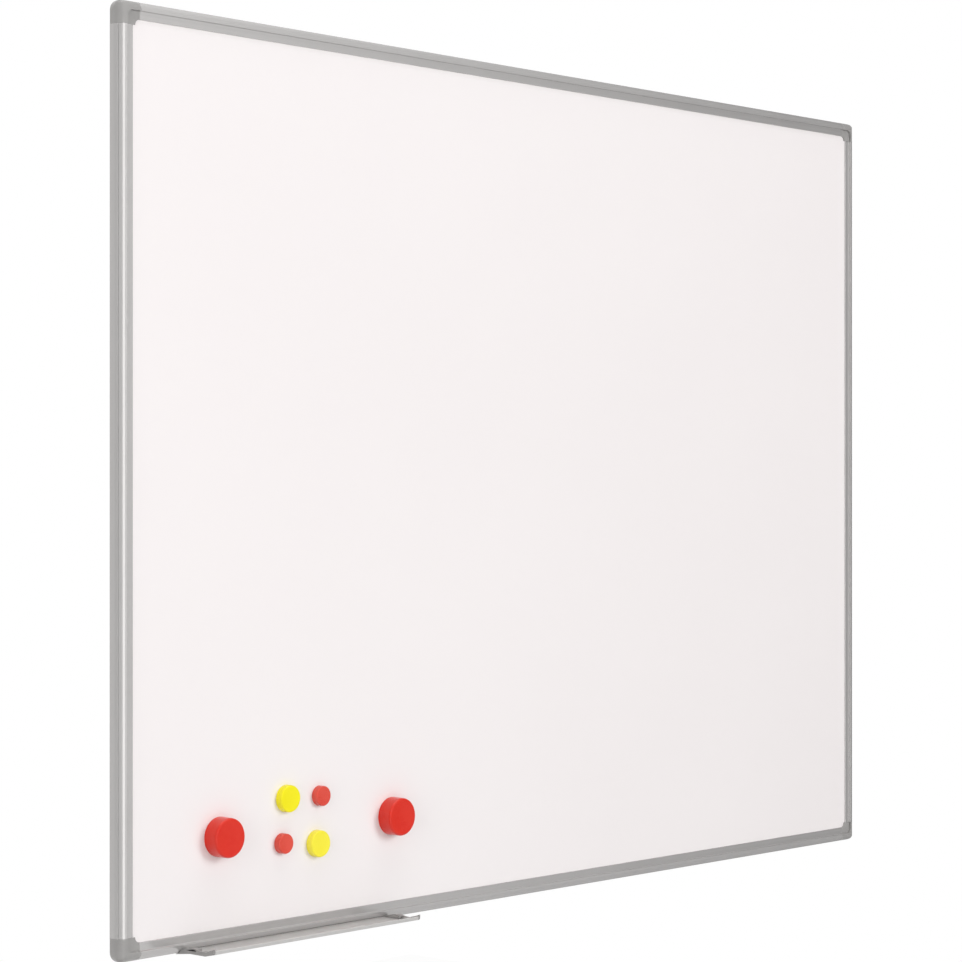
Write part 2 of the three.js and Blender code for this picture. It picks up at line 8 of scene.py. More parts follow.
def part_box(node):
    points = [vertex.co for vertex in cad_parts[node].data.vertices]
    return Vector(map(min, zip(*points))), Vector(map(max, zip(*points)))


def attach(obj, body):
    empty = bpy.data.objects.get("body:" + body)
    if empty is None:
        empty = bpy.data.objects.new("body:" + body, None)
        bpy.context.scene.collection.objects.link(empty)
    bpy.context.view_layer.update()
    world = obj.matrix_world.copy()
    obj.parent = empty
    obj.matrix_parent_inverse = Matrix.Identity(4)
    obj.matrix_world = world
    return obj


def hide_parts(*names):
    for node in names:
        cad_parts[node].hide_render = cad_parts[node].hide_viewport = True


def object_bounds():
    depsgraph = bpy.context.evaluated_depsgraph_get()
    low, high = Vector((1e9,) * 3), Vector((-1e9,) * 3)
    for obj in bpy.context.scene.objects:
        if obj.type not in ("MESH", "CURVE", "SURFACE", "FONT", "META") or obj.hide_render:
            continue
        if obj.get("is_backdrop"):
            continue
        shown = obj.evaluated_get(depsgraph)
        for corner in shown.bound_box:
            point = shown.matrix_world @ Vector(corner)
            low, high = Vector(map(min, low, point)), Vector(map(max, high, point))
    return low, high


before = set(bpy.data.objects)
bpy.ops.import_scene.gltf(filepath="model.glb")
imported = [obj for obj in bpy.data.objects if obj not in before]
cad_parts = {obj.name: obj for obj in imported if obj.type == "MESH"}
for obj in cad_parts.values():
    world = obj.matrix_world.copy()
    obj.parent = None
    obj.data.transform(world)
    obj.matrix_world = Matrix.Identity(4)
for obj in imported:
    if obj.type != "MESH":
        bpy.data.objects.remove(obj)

cad_low, cad_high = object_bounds()


# Camera
# It stands to the left of the board, level with the board's middle, and looks along the face at
# a slant. The lens is long, so that the board's sides stay upright.

PHOTO_PIXELS = 962
FOCAL_PIXELS = 2709.3
SENSOR_WIDTH = 36.0
FARTHEST_SEEN = 100.0
CAMERA_PLACE = (-2.2417, -1.9562, -0.0026)
VIEW_TURN = math.radians(47.811)
VIEW_RISE = math.radians(0.059)


def new_object(name, data):
    """An object in the scene, at the origin, for a mesh, a lamp or a camera."""
    made = bpy.data.objects.new(name, data)
    bpy.context.collection.objects.link(made)
    return made


camera = new_object("camera", bpy.data.cameras.new("camera"))
camera.data.sensor_width = SENSOR_WIDTH
camera.data.lens = SENSOR_WIDTH * FOCAL_PIXELS / PHOTO_PIXELS
camera.data.clip_end = FARTHEST_SEEN
camera.location = CAMERA_PLACE
look = Vector((math.sin(VIEW_TURN), math.cos(VIEW_TURN), math.tan(VIEW_RISE)))
camera.rotation_euler = look.to_track_quat("-Z", "Y").to_euler()
bpy.context.scene.camera = camera


# Studio
# A white room with its floor well below the hanging board. A tall softbox beside the camera runs
# down the left stile as its image, one hangs overhead, one stands far left, and a window on the
# right gives the shadows. Dark cards, right and left, tone down what the metal mirrors.

FLOOR_DROP = 1.5
FLOOR_SIZE = 8.0
FLOOR_BLEACH = 0.97
FLOOR_GREY = (0.55, 0.55, 0.55, 1.0)
WHITE = (1.0, 1.0, 1.0, 1.0)
ROOM_IN_FRONT, ROOM_BEHIND = 0.24, 1.15
BEHIND_START, BEHIND_END = -0.15, 0.45
ROOM_MIRRORED = 1.05
RIGHT_CARD_START, RIGHT_CARD_END = 0.61, 0.86
RIGHT_CARD_DEPTH, FLOOR_CARD_DEPTH = 0.95, 0.65
LEFT_CARD_START, LEFT_CARD_END, LEFT_CARD_DEPTH = 0.45, 0.75, 0.38
SOFTBOXES = {  # place, aim, width and height, brightness in a mirror, and whether metal shows it
    "side_softbox": ((-1.23, -2.96, 0.0), (-0.6, 0.0, 0.0), (1.35, 4.4), 1.3, True),
    "overhead_softbox": ((-0.3, -0.8, 3.2), (-0.2, 0.0, 0.0), (3.0, 1.2), 2.8, True),
    "left_softbox": ((-3.0, -0.9, 0.3), (-0.3, 0.0, 0.0), (1.2, 2.4), 2.5, False),
    "high_window": ((1.4, -4.2, 1.05), (-0.2, 0.0, -0.1), (1.9, 1.9), 8.35, False),
}


class Wire:
    """A socket of a node tree that is added and multiplied like a number."""

    def __init__(self, tree, socket=None):
        self.tree = tree
        self.socket = socket

    def node(self, kind, settings=None, sockets=None, result=0):
        """Any other node: its settings come first, then the values or wires of its sockets."""
        made = self.tree.nodes.new(kind)
        for name, value in (settings or {}).items():
            setattr(made, name, value)
        for name, value in (sockets or {}).items():
            for item in value if isinstance(value, list) else [value]:
                if isinstance(item, Wire):
                    self.tree.links.new(item.socket, made.inputs[name])
                else:
                    made.inputs[name].default_value = item
        return Wire(self.tree, made.outputs[result])

    def beside(self, result):
        """Another result of the same node."""
        return Wire(self.tree, self.socket.node.outputs[result])

    def into(self, socket):
        self.tree.links.new(self.socket, socket)

    def math(self, operation, *values):
        return self.node("ShaderNodeMath", {"operation": operation}, dict(enumerate(values)))

    def __add__(self, other):
        return self.math("ADD", self, other)

    def __mul__(self, other):
        return self.math("MULTIPLY", self, other)

    def __sub__(self, other):
        return self.math("SUBTRACT", self, other)

    def __rsub__(self, other):
        return self.math("SUBTRACT", other, self)

    __radd__ = __add__
    __rmul__ = __mul__

    def eased(self, start, end):
        """It runs smoothly from 0 to 1 while this value runs from start to end."""
        ends = {"Value": self, "From Min": start, "From Max": end}
        return self.node("ShaderNodeMapRange", {"interpolation_type": "SMOOTHSTEP"}, ends)

    def tinted(self, dark, light):
        """A colour between two, mixed by this value."""
        mix = {0: self, 6: (*dark, 1.0), 7: (*light, 1.0)}
        return self.node("ShaderNodeMix", {"data_type": "RGBA"}, mix, 2)


scene = bpy.context.scene
scene.view_settings.view_transform = "Standard"

world = bpy.data.worlds.new("white_room")
world.use_nodes = True
scene.world = world
room = Wire(world.node_tree)
rays = room.node("ShaderNodeLightPath", result="Is Camera Ray")
heading = room.node("ShaderNodeTexCoord", result="Generated")
rightward = room.node("ShaderNodeSeparateXYZ", sockets={0: heading}, result="X")
behind = rightward.beside("Y").eased(BEHIND_START, BEHIND_END)
seen = rays.math("MAXIMUM", rays, rays.beside("Is Transmission Ray"))
lit = behind * (ROOM_BEHIND - ROOM_IN_FRONT) + ROOM_IN_FRONT
right_card = rightward.eased(RIGHT_CARD_START, RIGHT_CARD_END) * RIGHT_CARD_DEPTH
left_card = (0.0 - rightward).eased(LEFT_CARD_START, LEFT_CARD_END) * LEFT_CARD_DEPTH
mirrored = ROOM_MIRRORED - right_card - left_card
glossy = rays.beside("Is Glossy Ray")
unseen = glossy * mirrored + (1.0 - glossy) * lit
strength = seen + (1.0 - seen) * unseen
backdrop = world.node_tree.nodes["Background"]
backdrop.inputs["Color"].default_value = WHITE
strength.into(backdrop.inputs["Strength"])

ground = bpy.data.meshes.new("floor")
half = FLOOR_SIZE / 2
floor_corners = [(-half, -half), (half, -half), (half, half), (-half, half)]
ground.from_pydata([(x, y, -FLOOR_DROP) for x, y in floor_corners], [], [(0, 1, 2, 3)])
floor = new_object("floor", ground)
paper = bpy.data.materials.new("white_paper")
paper.use_nodes = True
paper.node_tree.nodes.clear()
roll = Wire(paper.node_tree)
path = roll.node("ShaderNodeLightPath", result="Is Camera Ray")
looks = path.math("MAXIMUM", path, path.beside("Is Glossy Ray"))
looks = looks.math("MAXIMUM", looks, path.beside("Is Transmission Ray"))
matt = roll.node("ShaderNodeBsdfDiffuse", sockets={"Color": FLOOR_GREY})
incoming = roll.node("ShaderNodeNewGeometry", result="Incoming")
arriving = roll.node("ShaderNodeSeparateXYZ", sockets={0: incoming}, result="X")
card_image = (0.0 - arriving).eased(RIGHT_CARD_START, RIGHT_CARD_END)
card = path.beside("Is Glossy Ray") * card_image * FLOOR_CARD_DEPTH
glow = roll.node("ShaderNodeEmission", sockets={"Color": WHITE, "Strength": 1.0 - card})
white = {0: looks * FLOOR_BLEACH, 1: matt, 2: glow}
output = paper.node_tree.nodes.new("ShaderNodeOutputMaterial")
roll.node("ShaderNodeMixShader", sockets=white).into(output.inputs["Surface"])
ground.materials.append(paper)
floor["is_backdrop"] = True

for name, (place, aim, size, brightness, in_metal) in SOFTBOXES.items():
    lamp = bpy.data.lights.new(name, "AREA")
    lamp.shape = "RECTANGLE"
    lamp.size, lamp.size_y = size
    lamp.energy = math.pi * size[0] * size[1] * brightness
    holder = new_object(name, lamp)
    holder.location = place
    holder.rotation_euler = (Vector(aim) - Vector(place)).to_track_quat("-Z", "Y").to_euler()
    holder.visible_camera = False
    holder.visible_glossy = in_metal


# Writing sheet
# A thin steel sheet with a fired white lacquer, which pens wipe off and magnets hold to. It lies
# under the front lip of the frame, bonded to the core behind it.

LACQUER, LACQUER_PALE = (0.905, 0.861, 0.860), (0.915, 0.872, 0.870)
LACQUER_RIPPLE = 0.000012
WIPES = (0.9, 1.0, 9.0)


def new_finish(name, fixed):
    """A material, its shader with the values that stay the same all over, and its starting wire."""
    material = bpy.data.materials.new(name)
    material.use_nodes = True
    shader = material.node_tree.nodes["Principled BSDF"]
    for socket, value in fixed.items():
        shader.inputs[socket].default_value = value
    wire = Wire(material.node_tree)
    return material, shader, wire.node("ShaderNodeTexCoord", result="Object")


def noise(place, scale, detail=2.0, stretch=(1.0, 1.0, 1.0), roughness=0.5):
    """A soft irregular pattern, stretched along an axis where its scale is small."""
    scaled = place.node("ShaderNodeMapping", sockets={"Vector": place, "Scale": stretch})
    sizes = {"Vector": scaled, "Scale": scale, "Detail": detail, "Roughness": roughness}
    return place.node("ShaderNodeTexNoise", sockets=sizes)


def relief(height, depth, strength=1.0):
    """The surface rises by depth, in metres, where the height is one."""
    sockets = {"Strength": strength, "Distance": depth, "Height": height}
    return height.node("ShaderNodeBump", sockets=sockets, result="Normal")


def dress(name, material):
    """A node of the CAD model keeps its shape and takes this material."""
    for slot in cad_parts[name].material_slots:
        slot.material = material


white_lacquer, shader, place = new_finish("white_lacquer", {"Metallic": 0.0, "IOR": 1.5})
cloudy = noise(place, scale=2.4)
cloudy.eased(0.3, 0.7).tinted(LACQUER, LACQUER_PALE).into(shader.inputs["Base Color"])
wiped = noise(place, scale=1.0, detail=4.0, stretch=WIPES, roughness=0.6)
fine_wear = noise(place, scale=260.0)
(0.15 + 0.06 * wiped.eased(0.35, 0.75) + 0.02 * fine_wear).into(shader.inputs["Roughness"])
relief(noise(place, scale=320.0, detail=1.0), LACQUER_RIPPLE).into(shader.inputs["Normal"])
dress("writing_sheet", white_lacquer)


# Frame rails and stiles
# Four lengths of one aluminium profile, satin anodised: a hollow rounded outer half with a narrow
# groove for the tray, a thin lip over the sheet and a pocket behind that hangs on the brackets.
# Each is sawn square, drilled from behind and pushed over the plugs of the corner caps.

CROWN = 9.3
SPRINGING = 6.1
DEPTH = 15.4
LIP_REAR, LIP_FRONT, LIP_EDGE = 11.8, 13.0, 17.4
REAR_WALL, HOOK, POCKET, FLANGE, FLANGE_EDGE = 1.2, 12.2, 5.4, 6.6, 17.2
OUTER_WALL, WEB = 1.4, 7.9
GROOVE_UP, GROOVE_DOWN, GROOVE_IN = 10.92, 10.5, 2.5
GROOVE_BACK, GROOVE_FLOOR = 3.9, 8.9
MOUTH_TRIM_UP, MOUTH_TRIM_DOWN = 2.5, 4.0
MILLIMETRE = 0.001
WELD_WITHIN, SCREW_WITHIN, ON_AXIS = 0.001, 0.001, 1e-7
CORNER_STEPS = 5
SEAM_CLOSE = 0.2
STILE_TRIM = 2.3
HOLE = [(0.0, -1.0), (3.05, -1.0), (3.05, 0.35), (1.75, 1.65), (1.75, 5.4), (0.0, 6.4)]
HOLE_SIDES = 32
SHARP_EDGE = math.radians(32.0)
FRAME_DARK, FRAME_LIGHT = (0.500, 0.488, 0.481), (0.540, 0.528, 0.521)
DIE_LINE_DEPTH = 0.000004


def soften(corners):
    """The outline through corners (x, y, radius), each rounded to its radius."""
    points = []
    for i, (x, y, radius) in enumerate(corners):
        here = Vector((x, y))
        if radius == 0:
            points.append(here)
            continue
        back = (Vector(corners[i - 1][:2]) - here).normalized()
        ahead = (Vector(corners[(i + 1) % len(corners)][:2]) - here).normalized()
        angle = back.angle(ahead)
        reach = radius / math.tan(angle / 2)
        centre = here + (back + ahead).normalized() * radius / math.sin(angle / 2)
        first = here + back * reach - centre
        turn = first.angle_signed(here + ahead * reach - centre)
        for step in range(CORNER_STEPS + 1):
            spoke = Matrix.Rotation(-turn * step / CORNER_STEPS, 2) @ first
            points.append(centre + spoke)
    return points


def arc(centre, radius, start, end, steps):
    """Corners, in degrees from start to end, that are left as they are."""
    turns = [math.radians(start + (end - start) * i / steps) for i in range(steps + 1)]
    return [(centre[0] + radius * math.cos(t), centre[1] + radius * math.sin(t), 0) for t in turns]


def section_of(name, outlines):
    """An object whose closed edge loops are a section, in millimetres."""
    mesh = bpy.data.meshes.new(name)
    points, edges = [], []
    for outline in outlines:
        start = len(points)
        points += [(x, y, 0.0) for x, y in outline]
        edges += [(start + i, start + (i + 1) % len(outline)) for i in range(len(outline))]
    mesh.from_pydata(points, edges, [])
    return new_object(name, mesh)


def new_tree(name, inputs):
    """An empty tree of geometry nodes with named inputs, and its starting wire."""
    tree = bpy.data.node_groups.new(name, "GeometryNodeTree")
    for label, kind in [("Geometry", "Geometry"), *inputs]:
        tree.interface.new_socket(label, in_out="INPUT", socket_type="NodeSocket" + kind)
    tree.interface.new_socket("Geometry", in_out="OUTPUT", socket_type="NodeSocketGeometry")
    return tree, Wire(tree).node("NodeGroupInput", result="Geometry")


def close_tree(shape, finish):
    """The tree ends in real geometry with its material."""
    real = shape.node("GeometryNodeRealizeInstances", sockets={0: shape})
    dressed = shape.node("GeometryNodeSetMaterial", sockets={"Geometry": real, "Material": finish})
    end = shape.tree.nodes.new("NodeGroupOutput")
    dressed.into(end.inputs["Geometry"])


def settle(piece):
    """What the piece's modifiers make becomes its own plain mesh."""
    graph = bpy.context.evaluated_depsgraph_get()
    mesh = bpy.data.meshes.new_from_object(piece.evaluated_get(graph), depsgraph=graph)
    piece.modifiers.clear()
    piece.data = mesh
    return piece


def grow(source, tree, values):
    """The source becomes what the tree makes of it, with these values at the named inputs."""
    modifier = source.modifiers.new(tree.name, "NODES")
    modifier.node_group = tree
    for item in tree.interface.items_tree:
        if item.in_out == "INPUT" and item.name in values:
            modifier[item.identifier] = values[item.name]
    return settle(source)


def smooth(piece):
    """Soft shading over curves and edges, while the flats between them stay flat."""
    piece.data.shade_smooth()
    piece.data.set_sharp_from_angle(angle=SHARP_EDGE)
    flats = piece.modifiers.new("flats", "WEIGHTED_NORMAL")
    flats.keep_sharp = True
    return settle(piece)


extruded_bar, start = new_tree("extruded_bar", [("Length", "Float"), ("Finish", "Material")])
curve = start.node("GeometryNodeMeshToCurve", sockets={"Mesh": start})
face = start.node("GeometryNodeFillCurve", {"mode": "NGONS"}, {"Curve": curve})
drawn = start.node(
    "GeometryNodeExtrudeMesh", {"mode": "FACES"},
    {"Mesh": face, "Offset Scale": start.beside("Length"), "Individual": False},
)
foot = start.node("GeometryNodeFlipFaces", sockets={"Mesh": face})
bar = start.node("GeometryNodeJoinGeometry", sockets={"Geometry": [drawn, foot]})
bar = start.node("GeometryNodeMergeByDistance", sockets={"Geometry": bar, "Distance": WELD_WITHIN})
close_tree(bar, start.beside("Finish"))


def object_from(form, name):
    """The form that was built becomes the mesh of an object."""
    mesh = bpy.data.meshes.new(name)
    form.to_mesh(mesh)
    form.free()
    return new_object(name, mesh)


def turned(name, profile, sides, centre=(0.0, 0.0, 0.0), unit=1.0):
    """A turned solid whose axis stands out of the wall; its profile is (radius, out)."""
    form = bmesh.new()
    rings = []
    for radius, out in [(radius * unit, out * unit) for radius, out in profile]:
        if radius < ON_AXIS:
            rings.append([form.verts.new((centre[0], centre[1] - out, centre[2]))])
            continue
        ring = []
        for i in range(sides):
            angle = 2 * math.pi * i / sides
            x, z = centre[0] + radius * math.cos(angle), centre[2] + radius * math.sin(angle)
            ring.append(form.verts.new((x, centre[1] - out, z)))
        rings.append(ring)
    for one, other in zip(rings, rings[1:]):
        for i in range(sides):
            j = (i + 1) % sides
            quad = [one[i % len(one)], one[j % len(one)]]
            quad += [other[j % len(other)], other[i % len(other)]]
            form.faces.new([v for k, v in enumerate(quad) if v not in quad[:k]])
    bmesh.ops.recalc_face_normals(form, faces=form.faces)
    return object_from(form, name)


def cut(piece, cutter, operation="DIFFERENCE"):
    """The cutter is taken from the piece, or joined to it, and thrown away."""
    tool = piece.modifiers.new("cut", "BOOLEAN")
    tool.operation = operation
    tool.solver = "EXACT"
    tool.object = cutter
    settle(piece)
    bpy.data.objects.remove(cutter)


def anodised(name, across, gloss=0.16, metal=0.48, dark=FRAME_DARK, light=FRAME_LIGHT):
    """Satin aluminium with fine lines from the die along the bar, which cross the axes given."""
    material, shader, place = new_finish(name, {"Metallic": metal, "Specular IOR Level": 0.5})
    fine = tuple(5200.0 if axis in across else 6.0 for axis in "xyz")
    broad = tuple(420.0 if axis in across else 1.5 for axis in "xyz")
    lines = noise(place, scale=1.0, detail=3.0, stretch=fine, roughness=0.7)
    bands = noise(place, scale=1.0, stretch=broad)
    clouds = noise(place, scale=14.0, detail=3.0)
    tone = 0.5 * bands + 0.3 * lines + 0.2 * clouds
    tone.eased(0.3, 0.7).tinted(dark, light).into(shader.inputs["Base Color"])
    (gloss + 0.05 * lines + 0.04 * clouds).into(shader.inputs["Roughness"])
    relief(lines, DIE_LINE_DEPTH, 0.6).into(shader.inputs["Normal"])
    return material


screw_nodes = [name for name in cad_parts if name.startswith("corner_screw_")]
screw_boxes = {name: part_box(name) for name in screw_nodes}
screw_centres = {name: (low + high) / 2 for name, (low, high) in screw_boxes.items()}
lying = Matrix(((0, 0, 1, 0), (0, -1, 0, 0), (1, 0, 0, 0), (0, 0, 0, 1)))

crown = (CROWN, SPRINGING)
upper_turn = 180 - math.degrees(math.asin((GROOVE_UP - SPRINGING) / CROWN))
lower_turn = 180 - math.degrees(math.asin((GROOVE_DOWN - SPRINGING) / CROWN))
mouth = [
    (CROWN - math.sqrt(CROWN**2 - (out - SPRINGING) ** 2), out) for out in (GROOVE_UP, GROOVE_DOWN)
]
profile = [
    (0.0, 0.0, 0.3), (HOOK, 0.0, 0.3), (HOOK, REAR_WALL, 0.25), (CROWN, REAR_WALL, 0.2),
    (CROWN, POCKET, 0.3), (FLANGE_EDGE, POCKET, 0.25), (FLANGE_EDGE, FLANGE, 0.25),
    (CROWN, FLANGE, 0.2), (CROWN, LIP_REAR, 0.2), (LIP_EDGE, LIP_REAR, 0.2),
    (LIP_EDGE, LIP_FRONT, 0.55), (CROWN, LIP_FRONT, 0.8), (CROWN, DEPTH, 0.5),
    *arc(crown, CROWN, 94, upper_turn - MOUTH_TRIM_UP, 14),
    (*mouth[0], 0.1), (GROOVE_IN, GROOVE_UP, 0.1),
    (GROOVE_IN, GROOVE_DOWN, 0.1), (*mouth[1], 0.5),
    *arc(crown, CROWN, lower_turn + MOUTH_TRIM_DOWN, 180, 6),
]
inner = CROWN - OUTER_WALL
inner_turns = [
    180 - math.degrees(math.acos((CROWN - inward) / inner)) for inward in (WEB, GROOVE_BACK)
]
floor_turn = 180 - math.degrees(math.asin((GROOVE_FLOOR - SPRINGING) / inner))
chamber = [
    (OUTER_WALL, REAR_WALL, 0.0), (WEB, REAR_WALL, 0.0),
    *arc(crown, inner, inner_turns[0], inner_turns[1], 8),
    (GROOVE_BACK, GROOVE_FLOOR, 0.0),
    *arc(crown, inner, floor_turn, 180, 4),
]

for node, quarter in [("bottom_rail", 0), ("left_stile", 1), ("top_rail", 2), ("right_stile", 3)]:
    low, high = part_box(node)
    along = 0 if quarter % 2 == 0 else 2
    edge = cad_high.x if along == 2 else high.z if quarter == 2 else -low.z
    finish = anodised("satin_aluminium_" + node, "yz" if along == 0 else "xy")
    added = SEAM_CLOSE if along == 0 else SEAM_CLOSE - STILE_TRIM
    length = (high - low)[along] / MILLIMETRE + 2 * added
    section = section_of(node + "_profile", [soften(profile), soften(chamber)])
    member = grow(section, extruded_bar, {"Length": length, "Finish": finish})
    member.data.transform(
        Matrix.Rotation(quarter * math.pi / 2, 4, "Y")
        @ Matrix.Translation((-length / 2 * MILLIMETRE, 0, -edge))
        @ lying
        @ Matrix.Scale(MILLIMETRE, 4)
    )
    for name, centre in screw_centres.items():
        if all(low[k] - SCREW_WITHIN < centre[k] < high[k] + SCREW_WITHIN for k in (0, 2)):
            cut(member, turned("hole", HOLE, HOLE_SIDES, (centre.x, 0.0, centre.z), MILLIMETRE))
    smooth(member)
    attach(member, "board")
    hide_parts(node)


# Corner caps
# Grey mouldings, one over each corner of the frame, that plug into the chambers of both profiles.
# Their outside carries on the rounded edge and the step of the profile round a soft bend.

RAIL_ARM, STILE_ARM, EAR = 25.5, 20.5, 5.4
CORNER_REAR, CORNER_FRONT, CORNER_TAPER = 10.0, 5.8, 12.0
REAR_ROUND, BEND_STEPS, DOUBLES_WITHIN = 0.6, 16, 1e-5
STEP_BEND = 6.0
BEYOND, FAR = 1.0, 28.0
CORE_WALL, CORE_DEPTH = 2.0, 2.4
PLUG_LENGTH, PLUG_TAPER, PLUG_FIT, SCREW_PLACE = 22.0, 1.2, 0.3, 10.0
CAP_EDGE, CAP_EDGE_STEPS = 0.2, 3
CAP_DARK, CAP_LIGHT = (0.325, 0.316, 0.309), (0.355, 0.346, 0.338)
CAP_ROUGHNESS, CAP_GRAIN = 0.22, 0.000008


def moulded(name, dark, light, roughness, grain_depth):
    """Plastic with the fine grain of its mould and a slight cloud in its colour."""
    material, shader, place = new_finish(name, {"Metallic": 0.0, "IOR": 1.47})
    clouds = noise(place, scale=45.0, detail=3.0)
    clouds.eased(0.25, 0.75).tinted(dark, light).into(shader.inputs["Base Color"])
    grain = noise(place, scale=2600.0)
    (roughness + 0.08 * grain + 0.05 * clouds).into(shader.inputs["Roughness"])
    relief(grain, grain_depth, 0.7).into(shader.inputs["Normal"])
    return material


def prism(outline, out_from, out_to):
    """An outline seen from the front, in millimetres, made as thick as the two depths say."""
    piece = grow(section_of("prism", [outline]), extruded_bar, {"Length": out_to - out_from})
    piece.data.transform(Matrix.Translation((0, -out_from, 0)) @ standing)
    return piece


def box_outline(x0, z0, x1, z1):
    return [(x0, z0), (x1, z0), (x1, z1), (x0, z1)]


def rounded_edge():
    """The solid under the rounded outer edge of the frame, as it runs round the corner."""
    rear = arc((REAR_ROUND, REAR_ROUND), REAR_ROUND, 270, 180, 4)
    front = arc(crown, CROWN, 180, 90, 22)
    section = [(FAR, 0.0), *[(x, y) for x, y, _ in rear + front], (FAR, DEPTH)]
    form = bmesh.new()
    rows = []
    for inward, out in section:
        share = min(out / CORNER_TAPER, 1.0)
        corner = CORNER_REAR + (CORNER_FRONT - CORNER_REAR) * share**2 * (3 - 2 * share)
        bend = max(corner - inward, 0.0)
        centre = max(corner, inward)
        path = [(FAR + BEYOND, inward)]
        for step in range(BEND_STEPS + 1):
            turn = math.radians(270 - 90 * step / BEND_STEPS)
            path.append((centre + bend * math.cos(turn), centre + bend * math.sin(turn)))
        path.append((inward, FAR + BEYOND))
        rows.append([form.verts.new((x, -out, z)) for x, z in path])
    for one, other in zip(rows, rows[1:] + rows[:1]):
        for a, b, c, d in zip(one, one[1:], other[1:], other):
            form.faces.new((a, b, c, d))
    form.faces.new([row[0] for row in rows])
    form.faces.new([row[-1] for row in rows])
    bmesh.ops.remove_doubles(form, verts=form.verts, dist=DOUBLES_WITHIN)
    bmesh.ops.recalc_face_normals(form, faces=form.faces)
    return object_from(form, "rounded_edge")


def round_edges(piece, width, steps, least_turn=38.0, harden=False):
    """Every edge that turns by more than so many degrees gets a small rounding."""
    rounding = piece.modifiers.new("rounding", "BEVEL")
    rounding.width = width
    rounding.segments = steps
    rounding.limit_method = "ANGLE"
    rounding.angle_limit = math.radians(least_turn)
    rounding.harden_normals = harden
    return settle(piece)


standing = Matrix(((1, 0, 0, 0), (0, 0, -1, 0), (0, 1, 0, 0), (0, 0, 0, 1)))
ear_top = LIP_EDGE + EAR
ear = [(x, z) for x, z, _ in arc((RAIL_ARM, ear_top), EAR, 270, 180, 12)]
bend = CROWN + STEP_BEND
step_bend = [(x, z) for x, z, _ in arc((bend, bend), STEP_BEND, 180, 270, 12)]
near, away = OUTER_WALL + PLUG_FIT, WEB - PLUG_FIT

pattern_cap = rounded_edge()
cap_outline = [(-BEYOND, -BEYOND), (RAIL_ARM, -BEYOND), *ear, (-BEYOND, ear_top)]
cut(pattern_cap, prism(cap_outline, -BEYOND, DEPTH + BEYOND), "INTERSECT")
inside_step = [(FAR, CROWN), (FAR, FAR), (CROWN, FAR), *step_bend]
cut(pattern_cap, prism(inside_step, LIP_FRONT, DEPTH + BEYOND))
cut(pattern_cap, prism(box_outline(CROWN, CROWN, FAR, FAR), FLANGE, LIP_REAR))
cut(pattern_cap, prism(box_outline(CROWN, CROWN, FAR, FAR), -BEYOND, POCKET))
cut(pattern_cap, prism(box_outline(FLANGE_EDGE, FLANGE_EDGE, FAR, FAR), POCKET - BEYOND, LIP_REAR))
for arm, across in ((RAIL_ARM, False), (STILE_ARM, True)):
    core = box_outline(CORNER_REAR - CORE_WALL, CORE_WALL, arm - CORE_WALL, CROWN - CORE_WALL)
    tip, taper = arm + PLUG_LENGTH, arm + PLUG_LENGTH - PLUG_TAPER
    plug = [
        (arm - BEYOND, near), (taper, near), (tip, near + PLUG_TAPER),
        (tip, away - PLUG_TAPER), (taper, away), (arm - BEYOND, away),
    ]
    hole = (arm + SCREW_PLACE, (near + away) / 2)
    if across:
        core, plug, hole = [(z, x) for x, z in core], [(z, x) for x, z in plug], hole[::-1]
    cut(pattern_cap, prism(core, -BEYOND, CORE_DEPTH))
    cut(pattern_cap, prism(plug, REAR_WALL + PLUG_FIT, SPRINGING), "UNION")
    cut(pattern_cap, turned("hole", HOLE, HOLE_SIDES, (hole[0], 0.0, hole[1])))
round_edges(pattern_cap, CAP_EDGE, CAP_EDGE_STEPS)

cap_grey = moulded("cap_grey", CAP_DARK, CAP_LIGHT, CAP_ROUGHNESS, CAP_GRAIN)
corners = [
    ("lower_left", -1, -1), ("lower_right", 1, -1), ("upper_left", -1, 1), ("upper_right", 1, 1),
]
for corner, right, up in corners:
    cap = new_object("corner_moulding_" + corner, pattern_cap.data.copy())
    cap.data.transform(
        Matrix.Translation((right * cad_high.x, 0, up * cad_high.z))
        @ Matrix.Diagonal((-right * MILLIMETRE, MILLIMETRE, -up * MILLIMETRE, 1.0))
    )
    if right * up < 0:
        cap.data.flip_normals()
    cap.data.materials.clear()
    cap.data.materials.append(cap_grey)
    smooth(cap)
    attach(cap, "board")
    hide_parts("corner_cap_" + corner)
bpy.data.objects.remove(pattern_cap)


# Corner screws
# Small zinc-plated countersunk screws with a cross recess, two behind each corner, that go through
# the rear wall of the profile into the plug. Each was left at its own turn by the driver.

SCREW_SINK, HEAD_EDGE, SCREW_LENGTH, SCREW_POINT = 0.1, 0.25, 5.0, 1.0
HEAD_RADIUS, HEAD_BEVEL, SHANK_RADIUS, SCREW_SIDES = 2.75, (0.12, 0.1), 1.45, 32
RECESS_LENGTH, RECESS_WIDTH, RECESS_DEPTH, RECESS_FOOT = 3.0, 0.7, 1.0, 0.45
TURN_SEED = 7
SCREW_COOL, SCREW_WARM, SCREW_GRAIN = (0.44, 0.46, 0.49), (0.52, 0.52, 0.50), 1500.0
ZINC_GRAIN_DEPTH = 0.000006


def zinc_plated(name, cool, warm, grain):
    """Bright zinc: a fine crystalline grain with a faint blue and yellow cast."""
    material, shader, place = new_finish(name, {"Metallic": 1.0})
    cast = noise(place, scale=60.0, detail=3.0)
    cast.eased(0.3, 0.7).tinted(cool, warm).into(shader.inputs["Base Color"])
    crystals = noise(place, scale=grain, detail=3.0)
    (0.26 + 0.14 * crystals + 0.08 * cast).into(shader.inputs["Roughness"])
    relief(crystals, ZINC_GRAIN_DEPTH, 0.6).into(shader.inputs["Normal"])
    return material


